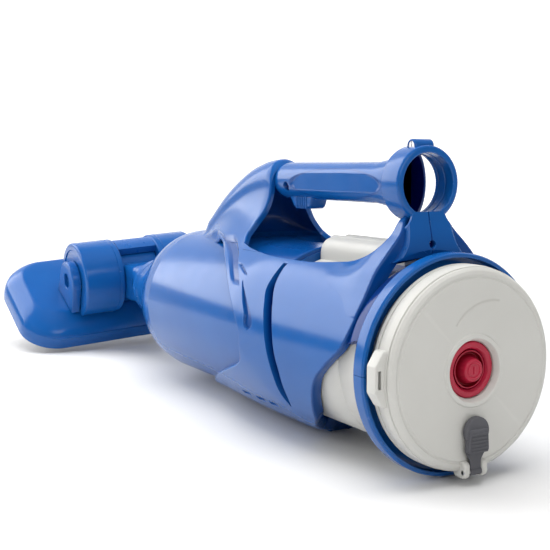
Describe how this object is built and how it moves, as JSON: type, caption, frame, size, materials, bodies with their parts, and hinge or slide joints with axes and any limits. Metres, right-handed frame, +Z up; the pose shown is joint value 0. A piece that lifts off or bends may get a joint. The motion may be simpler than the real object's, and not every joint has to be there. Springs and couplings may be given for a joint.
{
  "type": "manual vacuum head",
  "caption": "Handheld pool vacuum: barrel body with pole ring and grip, push-button rear cap, and a tilting, rolling suction head on a swivel neck.",
  "frame": {"origin": "bottom centre of the whole object, on the plane that the belly's foot rests on", "axes": "+Z up, +Y forward along the barrel towards the suction head, +X to the right seen from the rear cap"},
  "size_m": [0.2512, 0.6868, 0.2184],
  "materials": {
    "body_blue": "high-gloss injection moulding, royal blue",
    "warm_white": "satin warm white moulding",
    "crimson": "satin crimson moulding",
    "charcoal_rubber": "soft charcoal rubber",
    "dark_plastic": "dark moulded plastic",
    "roller_grey": "grey nylon",
    "steel": "stainless steel",
    "cell_wrap": "shrink-wrapped cell",
    "impeller_nylon": "natural nylon",
    "bristle": "blue nylon tufts",
    "filter_cloth": "woven mesh"
  },
  "bodies": {
    "body": {"battery_cell_1": "cell_wrap", "battery_cell_2": "cell_wrap", "battery_cell_3": "cell_wrap", "battery_cell_4": "cell_wrap", "battery_cell_5": "cell_wrap", "battery_holder": "dark_plastic", "button_bezel": "crimson", "cap_seal": "charcoal_rubber", "charge_socket": "dark_plastic", "collar_lower": "body_blue", "collar_upper": "body_blue", "end_cap": "warm_white", "grip_lug": "body_blue", "grip_pin": "steel", "impeller_casing": "body_blue", "impeller_cover": "body_blue", "left_grip": "body_blue", "left_ring": "body_blue", "left_shell": "body_blue", "motor": "steel", "motor_housing": "warm_white", "motor_plate": "steel", "post_screw": "steel", "right_grip": "body_blue", "right_ring": "body_blue", "right_shell": "body_blue", "ring_nut": "steel", "ring_screw": "steel", "shaft_seal": "charcoal_rubber", "strap_pin": "steel", "switch": "dark_plastic"},
    "button": {"power_button": "crimson"},
    "plug": {"charge_plug": "charcoal_rubber"},
    "rotor": {"motor_shaft": "steel", "impeller": "impeller_nylon"},
    "nose": {"nose_cone": "body_blue", "filter_ring": "impeller_nylon", "filter_bag": "filter_cloth", "flapper_pin": "steel"},
    "flapper": {"flapper_valve": "charcoal_rubber"},
    "neck": {"neck": "body_blue"},
    "head": {"head_top": "body_blue", "head_base": "dark_plastic", "left_drum": "body_blue", "right_drum": "body_blue", "left_ear": "body_blue", "right_ear": "body_blue", "left_pivot_pin": "steel", "right_pivot_pin": "steel", "left_pivot_cap": "dark_plastic", "right_pivot_cap": "dark_plastic", "drum_bridge": "body_blue", "front_brush": "bristle", "rear_brush": "bristle", "front_axle": "steel", "rear_axle": "steel"},
    "front_left_roller": {"front_left_roller": "roller_grey"},
    "front_right_roller": {"front_right_roller": "roller_grey"},
    "rear_left_roller": {"rear_left_roller": "roller_grey"},
    "rear_right_roller": {"rear_right_roller": "roller_grey"}
  },
  "joints": [
    {"name": "button_press", "type": "slide", "parent": "body", "child": "button", "axis": [0, 1, 0], "range_m": [0, 0.002], "stiffness_N_per_m": 900},
    {"name": "plug_flap", "type": "hinge", "parent": "body", "child": "plug", "pos_m": [-0.00207, -0.33842, 0.0094], "axis": [1, 0, 0], "range_deg": [0, 115]},
    {"name": "rotor_spin", "type": "hinge", "parent": "body", "child": "rotor", "pos_m": [-0.00207, -0.18602, 0.0734], "axis": [0, 1, 0], "continuous": true},
    {"name": "nose_twist", "type": "hinge", "parent": "body", "child": "nose", "pos_m": [-0.00207, -0.03602, 0.0734], "axis": [0, 1, 0], "range_deg": [0, 30]},
    {"name": "flapper_swing", "type": "hinge", "parent": "nose", "child": "flapper", "pos_m": [-0.00207, 0.12598, 0.096], "axis": [1, 0, 0], "range_deg": [-65, 0]},
    {"name": "neck_swivel", "type": "hinge", "parent": "nose", "child": "neck", "pos_m": [-0.00207, 0.15398, 0.0734], "axis": [0, 1, 0], "range_deg": [-40, 48]},
    {"name": "head_tilt", "type": "hinge", "parent": "neck", "child": "head", "pos_m": [-0.00262, 0.23698, 0.08138], "axis": [0.9976, 0, 0.0698], "range_deg": [-26, 20]},
    {"name": "rear_left_roller_spin", "type": "hinge", "parent": "head", "child": "rear_left_roller", "pos_m": [-0.1023, 0.25222, 0.01587], "axis": [0.9976, 0, 0.0698], "continuous": true},
    {"name": "front_left_roller_spin", "type": "hinge", "parent": "head", "child": "front_left_roller", "pos_m": [-0.10495, 0.31804, 0.05377], "axis": [0.9976, 0, 0.0698], "continuous": true},
    {"name": "rear_right_roller_spin", "type": "hinge", "parent": "head", "child": "rear_right_roller", "pos_m": [0.1052, 0.25222, 0.03037], "axis": [0.9976, 0, 0.0698], "continuous": true},
    {"name": "front_right_roller_spin", "type": "hinge", "parent": "head", "child": "front_right_roller", "pos_m": [0.10255, 0.31804, 0.06828], "axis": [0.9976, 0, 0.0698], "continuous": true}
  ]
}
